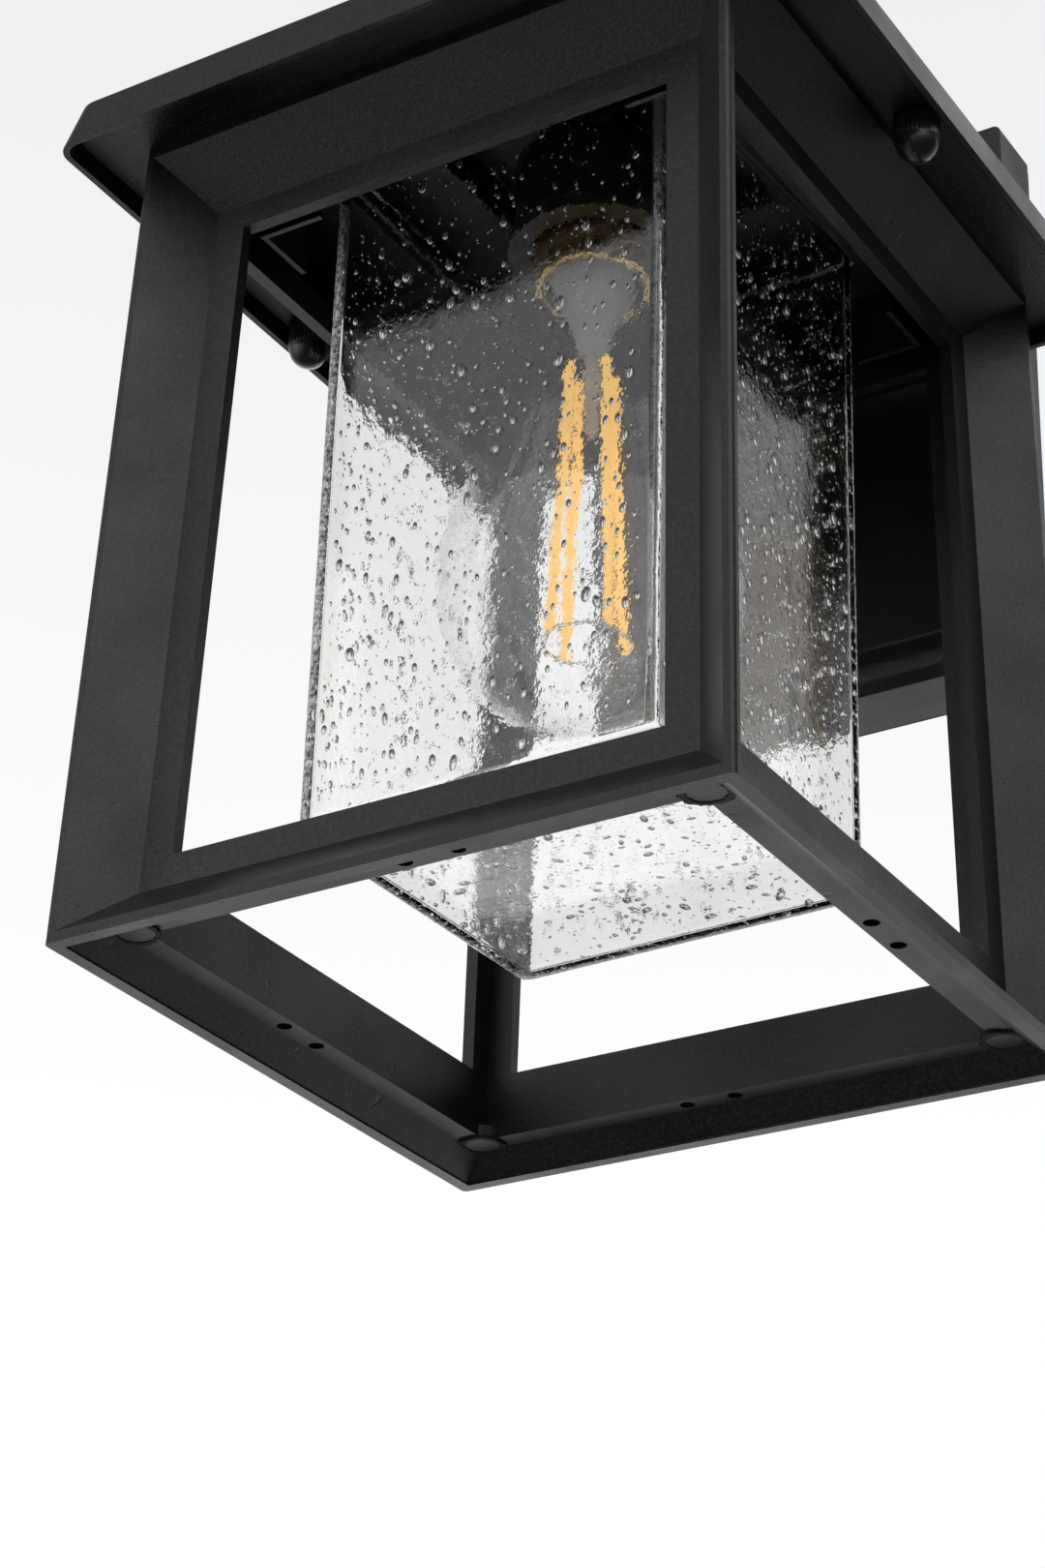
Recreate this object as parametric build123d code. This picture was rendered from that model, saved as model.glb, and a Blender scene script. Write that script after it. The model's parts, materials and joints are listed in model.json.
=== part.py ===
from build123d import *
import math
import os

# Outdoor wall lantern: a square box of seeded glass hangs inside a tapered cast frame, under
# a square roof that a short box arm holds out from a rectangular wall plate.
# Millimetres, +Z up. The wall is the plane y = 0, the lantern is towards -Y, and the origin
# is the middle of the wall face. The lantern itself is drawn about its own axis, with z = 0
# at the bottom lip of the cage, and placed on the wall at the end.

# Clearances
seat_gap = 0.3  # between pieces of different bodies that rest on each other
thread_gap = 0.02  # round a thread or press seat inside one body
turning_gap = 0.05  # round a stud that a nut turns on

# Cage casting
cage_top_width = 143.0
cage_flare = 3.5  # how much further out each face stands at the bottom
cage_height = 189.5  # bottom lip to the underside of the top plate
cage_corner = 1.2  # rounding of the four outer corners
rim_side = 2.2  # flat rim of a face along its posts
rim_bottom = 2.3
rim_top = 2.4
bevel_plan = 10.6  # width of the sloping border, seen square on to the face
bevel_bottom = 10.6
bevel_top = 11.5
recess_depth = 11.1
band_side = 7.2  # flat inner border round each opening
band_bottom = 6.8
band_top = 6.1
band_wall = 2.9
lip_width = 3.0  # bottom lip, then a slope up to the ledge
lip_height = 0.5
ledge_start = 9.0  # from the outside face in to the ledge
ledge_height = 5.0
crown_skin = 2.8  # wall left under the bevel of the top rails
ledge_hole_diameter = 3.3
ledge_hole_depth = 5.0
ledge_hole_inset = 11.3
ledge_hole_pitch = 11.5
pad_diameter = 9.5  # round pads left by the casting's ejector pins
pad_inset = 12.4
pad_thickness = 3.0
pad_proud = 0.4
top_plate_thickness = 2.5
rib_leg = 15.5  # angle ribs hanging at the corners of the glass
rib_thickness = 1.2
rib_height = 17.5
rib_stand_off = 9.5  # glass to the inner face of a rib

# Glass box
glass_side_gap = 6.6  # bulb to the inside of the glass
glass_bottom_gap = 28.5  # bulb tip to the inside of the bottom
glass_wall = 3.0
glass_floor = 3.5
glass_corner = 4.0
glass_turn = -1.5  # degrees; the box hangs a little askew
glass_play = 0.8
flange_seat = 5.0
flange_thickness = 3.0
glass_gasket_thickness = 1.0

# Roof
skirt_gap = 1.2  # thumb nut to the inside of the skirt
skirt_overlap = 3.2  # how far the skirt hangs below the cage's top plate
skirt_height = 12.0
skirt_draft = 2.6
roof_wall = 1.5
roof_corner = 5.0
roof_edge_radius = 1.5
hip_rise = 7.7
turret_width = 60.0
turret_height = 10.0
turret_draft = 0.8
turret_corner = 3.0
plate_to_skirt = 0.5

# Cage studs and thumb nuts
stud_diameter = 4.0
stud_boss_diameter = 9.0
stud_cover = 1.2  # metal left above the stud's hole
stud_tail = 1.5  # free end of a stud inside the domed end of its nut
nut_diameter = 10.0
nut_gap = 1.5  # cage to thumb nut
nut_grip = 6.0  # length of the knurled part
nut_knurls = 32
knurl_depth = 0.35
stud_hole_gap = 0.3

# Arm
arm_width = 26.0
arm_wall = 2.2
arm_corner = 1.5
arm_overhang = 20.0  # past the lantern's axis
arm_cap_thickness = 2.0
arm_cap_lip = 4.0
arm_screw_spacing = 16.4
arm_screw_diameter = 4.0
arm_screw_length = 12.0
arm_boss_diameter = 6.4
arm_boss_length = 14.0
arm_above_plate_centre = 38.0

# Hollow threaded nipple that clamps lampholder, roof and arm
nipple_diameter = 10.0
nipple_bore = 6.6
nipple_hole_gap = 0.2
nipple_show = 1.8  # thread left above the lock nut
washer_diameter = 16.0
washer_thickness = 1.0
lock_nut_width = 14.0
lock_nut_height = 3.5

# Wall plate
plate_width = 112.0
plate_height = 150.0
plate_side = 16.6  # straight side wall, without the gasket
plate_wall = 2.2
plate_corner = 2.0
panel_inset = 7.8
panel_rise = 6.4
panel_edge_radius = 0.8
cove_radius = 5.4
roof_to_panel = 4.3
wall_gasket_thickness = 2.0
wall_gasket_width = 3.0
wall_gasket_inset = 0.8

# Mounting bracket on the wall, behind the plate
bracket_width = 24.0
bracket_thickness = 1.6
bracket_tab = 16.0
bracket_tab_gap = 2.0  # tab to the plate's side wall
bracket_bend = 1.6
box_screw_spacing = 88.9  # standard junction box
box_slot_length = 12.0
box_slot_width = 5.0
plate_screw_diameter = 4.0
plate_screw_length = 12.0
plate_screw_depth = 10.0  # wall to the axis of the two plate screws
screw_hole_gap = 0.3
screw_head_diameter = 7.6
screw_head_height = 2.4
ground_screw_drop = 20.0
ground_head_diameter = 8.0

# Lampholder
bushing_diameter = 15.0
bushing_height = 6.0
holder_height = 27.5
holder_diameter = 36.0
holder_mouth_diameter = 39.0
holder_mouth_height = 3.0
holder_roof = 3.7
holder_shoulder = 5.0
shell_wall = 0.6
shell_gap = 0.4  # lamp cap to the screw shell
shell_set_back = 3.0  # mouth to the shell's edge
contact_thickness = 0.9
contact_diameter = 8.0
wire_chamber = 2.5

# Lamp
bulb_length = 140.6
bulb_diameter = 64.0
bulb_neck_diameter = 23.6
bulb_neck_length = 12.0
bulb_glass = 0.9
cap_diameter = 26.2
cap_length = 28.0
cap_collar = 8.0  # plain ring at the lower end of the cap
cap_wall = 0.8
cap_ridges = 5
ridge_depth = 0.6
insulator_height = 2.2
insulator_top_diameter = 11.0
tip_diameter = 9.0
tip_height = 1.4
stem_diameter = 19.0
stem_length = 17.0
stem_rod_diameter = 3.0
stem_rod_length = 20.0
filament_length = 68.0
filament_diameter = 1.8
filament_top_radius = 5.5
filament_bottom_radius = 9.0
filament_start = 21.0  # below the cap
filament_count = 4
lead_diameter = 0.7

# Wires
wire_diameter = 2.2
wire_spacing = 2.7
wire_bend = 6.5
wire_headroom = 2.8
wire_hole_gap = 0.5
wire_set_back = 12.0  # wall to the wires' axis behind the panel
wire_fall = 20.0
wire_end_run = 12.0
connector_spacing = 19.0
connector_length = 17.0
connector_diameter = 10.0
connector_tip_diameter = 6.0
connector_bite = 4.0

# Levels of the lantern, upwards from the cage's lip
cage_bottom_width = cage_top_width + 2 * cage_flare
opening_bottom = rim_bottom + bevel_bottom + band_bottom
opening_top = cage_height - rim_top - bevel_top - band_top
plate_top = cage_height + top_plate_thickness
flange_bottom = plate_top + glass_gasket_thickness
flange_top = flange_bottom + flange_thickness
skirt_bottom = cage_height - skirt_overlap
skirt_top = skirt_bottom + skirt_height
turret_base = skirt_top + hip_rise
turret_top = turret_base + turret_height
ceiling = turret_top - roof_wall
holder_top = ceiling - bushing_height
holder_mouth = holder_top - holder_height
bulb_top = holder_top - holder_roof - contact_thickness - seat_gap
bulb_bottom = bulb_top - bulb_length
cap_top = bulb_top - tip_height - insulator_height
cap_bottom = cap_top - cap_length
glass_bottom = bulb_bottom - glass_bottom_gap - glass_floor
arm_inside = turret_top + arm_wall
washer_top = arm_inside + washer_thickness
nipple_top = washer_top + lock_nut_height + nipple_show
wire_level = nipple_top + wire_bend
arm_top = wire_level + wire_headroom + arm_wall
arm_middle = (turret_top + arm_top) / 2

# Widths of the lantern
stud_x = cage_top_width / 2 + nut_gap + nut_diameter / 2
skirt_inside = stud_x + nut_diameter / 2 + skirt_gap
roof_half = skirt_inside + roof_wall
glass_inside = bulb_diameter / 2 + glass_side_gap
glass_half = glass_inside + glass_wall
turn = math.radians(abs(glass_turn))
glass_hole = glass_half * (math.cos(turn) + math.sin(turn)) + glass_play
flange_half = glass_hole + flange_seat
rib_outside = glass_half + rib_stand_off + rib_thickness + glass_play

# Places on the wall
plate_back = wall_gasket_thickness
box_front = plate_back + plate_side
panel_front = box_front + panel_rise
reach = roof_half + roof_to_panel + panel_front
lantern = Pos(0, -reach, arm_above_plate_centre - arm_middle)
wire_plate_level = arm_above_plate_centre + wire_level - arm_middle


def cage_half(height):
    """Half width across the outside of the cage at a height above its lip."""
    return cage_bottom_width / 2 - cage_flare * height / cage_height


def skirt_half(height):
    """Half width across the outside of the roof's skirt."""
    return roof_half - skirt_draft * (height - skirt_bottom) / skirt_height


def square(half, height, radius=0.0):
    """Level square face, with rounded corners if a radius is given."""
    if radius > 0:
        face = RectangleRounded(2 * half, 2 * half, radius)
    else:
        face = Rectangle(2 * half, 2 * half)
    return Pos(0, 0, height) * face


def square_taper(low_half, low, high_half, high, radius=0.0):
    """Straight-sided square solid between two levels."""
    return loft([square(low_half, low, radius), square(high_half, high, radius)], ruled=True)


def round_bar(radius, low, high, x=0.0, y=0.0):
    """Upright cylinder between two levels."""
    return Pos(x, y, low) * extrude(Circle(radius), high - low)


def turned(points):
    """Solid of revolution about Z of a closed outline given as (radius, height)."""
    outline = make_face(Plane.XZ * Polyline(*points, close=True))
    return revolve(outline, Axis.Z)


def four_ways(shape):
    """The shape at each quarter turn about the lantern's axis."""
    return [Rot(0, 0, quarter * 90) * shape for quarter in range(4)]


def face_outline(plane, inset, low, high):
    """Leaning border line of a cage face, a given distance in from its corners."""
    wide = cage_half(low) - inset
    narrow = cage_half(high) - inset
    return plane * Polygon((-wide, low), (wide, low), (narrow, high), (-narrow, high), align=None)


def face_window():
    """What one face of the cage loses: the bevelled recess and the opening in it."""
    lean = cage_flare / cage_height
    face = Plane(origin=(0, -cage_bottom_width / 2, 0), x_dir=(1, 0, 0), z_dir=(0, -1, lean))
    bed = face.offset(-recess_depth)
    bevel_low = rim_bottom + bevel_bottom
    bevel_high = cage_height - rim_top - bevel_top
    mouth = face_outline(face, rim_side, rim_bottom, cage_height - rim_top)
    floor = face_outline(bed, rim_side + bevel_plan, bevel_low, bevel_high)
    recess = loft([mouth, floor], ruled=True)
    post = rim_side + bevel_plan + band_side
    opening = extrude(face_outline(bed, post, opening_bottom, opening_top), -2 * band_wall)
    return recess + opening


def angle_rib():
    """Hanging angle rib beside one corner of the glass."""
    inner = rib_outside - rib_thickness
    end = rib_outside - rib_leg
    leg = Polygon(
        (rib_outside, rib_outside),
        (end, rib_outside),
        (end, inner),
        (inner, inner),
        (inner, end),
        (rib_outside, end),
        align=None,
    )
    return Pos(0, 0, cage_height - rib_height) * extrude(leg, rib_height)


def cage():
    """Cast frame: four diagonal-fin posts, bevelled rails and the top plate they hang from."""
    wall = recess_depth + band_wall
    body = square_taper(
        cage_half(0), 0, cage_half(cage_height), cage_height, cage_corner
    )
    body -= square_taper(cage_half(0) - wall, 0, cage_half(cage_height) - wall, cage_height)
    lip = cage_half(0) - lip_width
    body -= square_taper(lip, 0, lip, lip_height)
    body -= square_taper(lip, lip_height, cage_half(0) - ledge_start, ledge_height)
    crown_low = cage_height - rim_top - bevel_top + crown_skin / 3
    crown_high = cage_height - rim_top + crown_skin / 3
    crown_half = cage_half(crown_high) - crown_skin
    body -= square_taper(cage_half(crown_low) - wall, crown_low, crown_half, crown_high)
    body -= square_taper(crown_half, crown_high, crown_half, cage_height)
    for window in four_ways(face_window()):
        body -= window
    plate_half = skirt_half(plate_top) - roof_wall - plate_to_skirt
    plate = extrude(square(plate_half, cage_height, roof_corner - roof_wall), top_plate_thickness)
    plate -= extrude(square(glass_hole, cage_height, glass_corner), top_plate_thickness)
    body += plate
    pad_place = cage_half(0) - pad_inset
    pad_low = ledge_height - pad_proud
    pad = round_bar(pad_diameter / 2, pad_low, pad_low + pad_thickness, pad_place, pad_place)
    for piece in four_ways(angle_rib()) + four_ways(pad):
        body += piece
    hole_y = ledge_hole_inset - cage_half(0)
    hole_top = ledge_height + ledge_hole_depth
    for hole_x in (0, ledge_hole_pitch):
        hole = round_bar(ledge_hole_diameter / 2, 0, hole_top, hole_x, hole_y)
        for turned_hole in four_ways(hole):
            body -= turned_hole
    stud_hole = stud_diameter / 2 + stud_hole_gap
    for side in (-1, 1):
        body -= round_bar(stud_hole, cage_height, plate_top, side * stud_x)
    return body


def glass_gasket():
    """Flat ring that the glass's flange rests on."""
    ring = square(flange_half, plate_top, glass_corner) - square(glass_hole, plate_top, glass_corner)
    return extrude(ring, glass_gasket_thickness)


def glass_box():
    """Open-topped box of seeded glass with a flange round its mouth."""
    body = extrude(square(glass_half, glass_bottom, glass_corner), flange_top - glass_bottom)
    body = fillet(body.edges().group_by(Axis.Z)[0], glass_floor * 0.8)
    body += extrude(square(flange_half, flange_bottom, glass_corner), flange_thickness)
    inside_corner = glass_corner - glass_wall / 2
    inside_floor = glass_bottom + glass_floor
    hollow = extrude(square(glass_inside, inside_floor, inside_corner), flange_top - inside_floor)
    hollow = fillet(hollow.edges().group_by(Axis.Z)[0], inside_corner * 0.8)
    return Rot(0, 0, glass_turn) * (body - hollow)


def roof():
    """Skirt, low hips and a square turret, with the bosses that hold the cage's studs."""
    eave = skirt_half(skirt_top)
    turret = turret_width / 2
    inner_top = skirt_top - roof_wall
    shell = square_taper(roof_half, skirt_bottom, eave, skirt_top, roof_corner)
    shell += loft(
        [square(eave, skirt_top, roof_corner), square(turret, turret_base, turret_corner)],
        ruled=True,
    )
    shell = fillet(
        shell.edges().filter_by_position(Axis.Z, skirt_top - 0.1, skirt_top + 0.1),
        roof_edge_radius,
    )
    turret_tip = turret - turret_draft
    shell += square_taper(turret, turret_base, turret_tip, turret_top, turret_corner)
    eave_inside = skirt_half(inner_top) - roof_wall
    corner_inside = roof_corner - roof_wall
    turret_inside = turret - roof_wall
    turret_corner_inside = turret_corner - roof_wall
    low = turret_base - roof_wall
    shell -= square_taper(skirt_inside, skirt_bottom, eave_inside, inner_top, corner_inside)
    shell -= loft(
        [
            square(eave_inside, inner_top, corner_inside),
            square(turret_inside, low, turret_corner_inside),
        ],
        ruled=True,
    )
    shell -= square_taper(
        turret_inside, low, turret_tip - roof_wall, ceiling, turret_corner_inside
    )
    boss_top = inner_top + roof_wall / 2
    stud_bore = stud_diameter / 2 + thread_gap
    for side in (-1, 1):
        shell += round_bar(stud_boss_diameter / 2, plate_top + seat_gap, boss_top, side * stud_x)
        shell -= round_bar(stud_bore, plate_top + seat_gap, boss_top - stud_cover, side * stud_x)
    shell -= round_bar(nipple_diameter / 2 + nipple_hole_gap, ceiling, turret_top)
    return shell


def cage_studs():
    """Two threaded studs that hang from the roof's bosses."""
    top = skirt_top - roof_wall / 2 - stud_cover
    bottom = cage_height - seat_gap - nut_grip - stud_tail
    return [round_bar(stud_diameter / 2, bottom, top, side * stud_x) for side in (-1, 1)]


def thumb_nut(side):
    """Knurled nut with a domed end, screwed up against the cage's top plate."""
    top = cage_height - seat_gap
    bottom = top - nut_grip
    radius = nut_diameter / 2
    teeth = []
    for tooth in range(2 * nut_knurls):
        angle = math.pi * tooth / nut_knurls
        reach_out = radius - knurl_depth * (tooth % 2)
        teeth.append((reach_out * math.cos(angle), reach_out * math.sin(angle)))
    grip = Pos(0, 0, bottom) * extrude(Polygon(*teeth, align=None), nut_grip)
    dome_radius = radius - knurl_depth
    dome = Pos(0, 0, bottom) * Sphere(dome_radius)
    dome &= round_bar(radius, bottom - radius, bottom)
    bore = round_bar(stud_diameter / 2 + turning_gap, bottom - stud_tail - seat_gap, top)
    return Pos(side * stud_x, 0, 0) * (grip + dome - bore)


def arm():
    """Square box arm, open at both ends, with two screw bosses where it meets the plate."""
    length = arm_overhang + reach - panel_front
    height = arm_top - turret_top
    face = Plane(origin=(0, -arm_overhang, arm_middle), x_dir=(1, 0, 0), z_dir=(0, -1, 0))
    tube = extrude(face * RectangleRounded(arm_width, height, arm_corner), -length)
    inside_width = arm_width - 2 * arm_wall
    tube -= extrude(face * Rectangle(inside_width, height - 2 * arm_wall), -length)
    end = face.offset(-length)
    for side in (-1, 1):
        place = end * Pos(side * arm_screw_spacing / 2, 0, 0)
        boss = extrude(place * Circle(arm_boss_diameter / 2), arm_boss_length)
        web_width = (inside_width - arm_screw_spacing) / 2
        web_place = place * Pos(side * web_width / 2, 0, 0)
        boss += extrude(web_place * Rectangle(web_width, arm_boss_diameter / 2), arm_boss_length)
        tube += boss
        bore = Circle(arm_screw_diameter / 2 + thread_gap)
        tube -= extrude(place * bore, arm_screw_length)
    tube -= round_bar(nipple_diameter / 2 + nipple_hole_gap, turret_top, arm_inside)
    return tube


def arm_end_cap():
    """Cover with a pressed-in lip that closes the arm's free end."""
    height = arm_top - turret_top
    face = Plane(origin=(0, -arm_overhang, arm_middle), x_dir=(1, 0, 0), z_dir=(0, -1, 0))
    cover = extrude(face * RectangleRounded(arm_width, height, arm_corner), arm_cap_thickness)
    cover = fillet(cover.edges().group_by(Axis.Y)[0], arm_corner / 2)
    inset = 2 * (arm_wall + thread_gap)
    lip_face = Rectangle(arm_width - inset, height - inset)
    lip_face -= Rectangle(arm_width - inset - 2 * arm_wall, height - inset - 2 * arm_wall)
    return cover + extrude(face * lip_face, -arm_cap_lip)


def screw(diameter, length, head_diameter, head_height):
    """Pan-head screw along Z, its head above z = 0 and its shank below."""
    head = extrude(Circle(head_diameter / 2), head_height)
    head = fillet(head.edges().group_by(Axis.Z)[-1], head_height * 0.6)
    return head + Pos(0, 0, -length) * extrude(Circle(diameter / 2), length)


def arm_screws():
    """Two screws from inside the wall plate into the arm's bosses."""
    length = plate_wall + arm_screw_length - seat_gap
    head_plane = Plane(
        origin=(0, reach - panel_front + plate_wall, arm_middle), x_dir=(1, 0, 0), z_dir=(0, 1, 0)
    )
    one = screw(arm_screw_diameter, length, screw_head_diameter, screw_head_height)
    return [
        head_plane * Pos(side * arm_screw_spacing / 2, 0, 0) * one for side in (-1, 1)
    ]


def threaded_nipple():
    """Hollow threaded tube from the lampholder up through roof and arm."""
    tube = round_bar(nipple_diameter / 2, holder_top, nipple_top)
    return tube - round_bar(nipple_bore / 2, holder_top, nipple_top)


def nipple_washer():
    """Flat washer inside the arm."""
    disc = round_bar(washer_diameter / 2, arm_inside, washer_top)
    return disc - round_bar(nipple_diameter / 2 + nipple_hole_gap, arm_inside, washer_top)


def lock_nut():
    """Hexagon nut on the nipple, inside the arm."""
    flats = RegularPolygon(lock_nut_width / 2, 6, major_radius=False)
    nut = Pos(0, 0, washer_top) * extrude(flats, lock_nut_height)
    bore = nipple_diameter / 2 + thread_gap
    return nut - round_bar(bore, washer_top, washer_top + lock_nut_height)


def lampholder_bushing():
    """Threaded collar on top of the lampholder, clamped under the roof."""
    collar = round_bar(bushing_diameter / 2, holder_top, ceiling)
    return collar - round_bar(nipple_diameter / 2 + thread_gap, holder_top, ceiling)


def lampholder_body():
    """Moulded body with a wider mouth, stepped top and a blind chamber for the wires."""
    cavity = cap_diameter / 2 + shell_gap + shell_wall + thread_gap
    roof_level = holder_top - holder_roof
    outer = holder_diameter / 2
    mouth = holder_mouth_diameter / 2
    shoulder = outer - holder_shoulder
    body = turned(
        [
            (cavity, holder_mouth),
            (mouth, holder_mouth),
            (mouth, holder_mouth + holder_mouth_height),
            (outer, holder_mouth + holder_mouth_height + mouth - outer),
            (outer, holder_top - holder_shoulder),
            (shoulder, holder_top),
            (0, holder_top),
            (0, roof_level),
            (cavity, roof_level),
        ]
    )
    return body - round_bar(nipple_bore / 2, holder_top - wire_chamber, holder_top)


def screw_shell():
    """Thin brass shell that the lamp's cap turns in."""
    inside = cap_diameter / 2 + shell_gap
    low = holder_mouth + shell_set_back
    high = holder_top - holder_roof
    return round_bar(inside + shell_wall, low, high) - round_bar(inside, low, high)


def lampholder_contact():
    """Centre contact under the roof of the lampholder."""
    high = holder_top - holder_roof
    return round_bar(contact_diameter / 2, high - contact_thickness, high)


def bulb_cap():
    """Brass lamp cap: a plain collar, then rolled ridges."""
    radius = cap_diameter / 2
    neck = bulb_neck_diameter / 2 + thread_gap
    pitch = (cap_length - cap_collar - cap_wall) / cap_ridges
    outline = [(neck, cap_bottom), (radius, cap_bottom), (radius, cap_bottom + cap_collar)]
    for ridge in range(cap_ridges):
        base = cap_bottom + cap_collar + ridge * pitch
        outline.append((radius - ridge_depth, base + pitch / 4))
        outline.append((radius - ridge_depth / 4, base + 3 * pitch / 4))
    outline.append((radius - 2 * ridge_depth, cap_top - cap_wall))
    outline.append((insulator_top_diameter / 2 + cap_wall, cap_top))
    outline.append((insulator_top_diameter / 2, cap_top))
    outline.append((insulator_top_diameter / 2, cap_top - cap_wall))
    outline.append((neck, cap_top - 2 * cap_wall))
    return turned(outline)


def bulb_insulator():
    """Black glass washer that carries the lamp's centre contact."""
    wide = insulator_top_diameter / 2 + cap_wall
    narrow = tip_diameter / 2
    return turned(
        [(0, cap_top), (wide, cap_top), (narrow, cap_top + insulator_height),
         (0, cap_top + insulator_height)]
    )


def bulb_tip():
    """Soldered centre contact of the lamp."""
    low = bulb_top - tip_height
    button = round_bar(tip_diameter / 2 - cap_wall, low, bulb_top)
    return fillet(button.edges().group_by(Axis.Z)[-1], tip_height / 2)


def bulb_outline(inset):
    """Half outline of the envelope, from its tip up to the top of its neck."""
    belly = bulb_diameter / 2
    neck = bulb_neck_diameter / 2
    neck_top = cap_bottom + bulb_neck_length
    centre = bulb_bottom + belly
    tip_point = (0, bulb_bottom + inset)
    belly_point = (belly - inset, centre)
    neck_point = (neck - inset, cap_bottom)
    dome = CenterArc((0, centre), belly - inset, 270, 90)
    flank = Spline(belly_point, neck_point, tangents=((0, 1), (0, 1)), tangent_scalars=(1.1, 1.6))
    collar = Line(neck_point, (neck - inset, neck_top))
    return tip_point, [dome, flank, collar], (neck - inset, neck_top)


def bulb_envelope():
    """Hollow clear glass of the lamp: a round end that draws in to the neck."""
    outer_tip, outer, outer_end = bulb_outline(0)
    inner_tip, inner, inner_end = bulb_outline(bulb_glass)
    edges = outer + inner + [Line(outer_end, inner_end), Line(outer_tip, inner_tip)]
    return revolve(make_face([Plane.XZ * edge for edge in edges]), Axis.Z)


def bulb_stem():
    """Glass foot inside the neck with the rod that the filaments stand round."""
    foot_top = cap_bottom + bulb_neck_length
    foot_bottom = foot_top - bulb_neck_length - stem_length
    wide = stem_diameter / 2
    rod = stem_rod_diameter / 2
    return turned(
        [
            (0, foot_top),
            (bulb_neck_diameter / 2 - bulb_glass - thread_gap, foot_top),
            (wide, cap_bottom),
            (2 * rod, foot_bottom),
            (rod, foot_bottom - rod),
            (rod, foot_bottom - stem_rod_length),
            (0, foot_bottom - stem_rod_length - rod),
        ]
    )


def filament_ends(index):
    """Top and bottom points of one filament."""
    angle = math.radians(360 * index / filament_count + 45)
    top = cap_bottom - filament_start
    return [
        Vector(radius * math.cos(angle), radius * math.sin(angle), level)
        for radius, level in (
            (filament_top_radius, top),
            (filament_bottom_radius, top - filament_length),
        )
    ]


def rod_between(start, end, radius):
    """Straight round rod from one point to another."""
    return extrude(Plane(origin=start, z_dir=end - start) * Circle(radius), (end - start).length)


def bulb_filaments():
    """Slim straight filament sticks, leaning out towards the bottom."""
    return [
        rod_between(*filament_ends(index), filament_diameter / 2)
        for index in range(filament_count)
    ]


def bulb_leads():
    """Wires from the foot to the filaments' tops, and the ring that joins their lower ends."""
    radius = lead_diameter / 2
    rod = stem_rod_diameter / 2
    root_level = cap_bottom - stem_length - rod - lead_diameter
    root_share = (rod + radius + thread_gap) / filament_top_radius
    pieces = []
    for index in range(filament_count):
        top = filament_ends(index)[0]
        root = Vector(top.X * root_share, top.Y * root_share, root_level)
        pieces.append(rod_between(root, top + Vector(0, 0, radius + thread_gap), radius))
    slope = (filament_bottom_radius - filament_top_radius) / filament_length
    ends = cap_bottom - filament_start - filament_length - slope * filament_diameter / 2
    ring = Pos(0, 0, ends - radius - thread_gap) * Torus(filament_bottom_radius, radius)
    return pieces + [ring]


def wire(side):
    """Insulated wire from the lampholder through nipple and arm into the wall plate."""
    offset = side * wire_spacing / 2
    depth = reach - wire_set_back
    aside = side * connector_spacing / 2
    foot = wire_level - wire_fall
    points = [
        (offset, 0, holder_top - wire_chamber),
        (offset, 0, wire_level),
        (offset, depth, wire_level),
        (aside, depth, foot),
        (aside, depth, foot - wire_end_run),
    ]
    path = FilletPolyline(*points, radius=wire_bend)
    start = Plane(origin=points[0], z_dir=(0, 0, 1))
    return sweep(start * Circle(wire_diameter / 2), path)


def wire_connectors():
    """Twist-on connectors on the ends of the two wires."""
    end = wire_level - wire_fall - wire_end_run
    depth = reach - wire_set_back
    shell = turned(
        [
            (0, end - connector_length + connector_bite),
            (connector_tip_diameter / 2, end - connector_length + connector_bite),
            (connector_diameter / 2, end),
            (connector_diameter / 2, end + connector_bite),
            (wire_diameter / 2 + thread_gap, end + connector_bite),
            (wire_diameter / 2 + thread_gap, end),
            (0, end),
        ]
    )
    return [Pos(side * connector_spacing / 2, depth, 0) * shell for side in (-1, 1)]


def plate_plane(distance):
    """Upright plane a distance out from the wall, facing the lantern."""
    return Plane(origin=(0, -distance, 0), x_dir=(1, 0, 0), z_dir=(0, -1, 0))


def wall_gasket():
    """Foam strip between the plate's rim and the wall."""
    width = plate_width - 2 * wall_gasket_inset
    height = plate_height - 2 * wall_gasket_inset
    ring = RectangleRounded(width, height, plate_corner)
    ring -= Rectangle(width - 2 * wall_gasket_width, height - 2 * wall_gasket_width)
    return extrude(plate_plane(0) * ring, wall_gasket_thickness)


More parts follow.
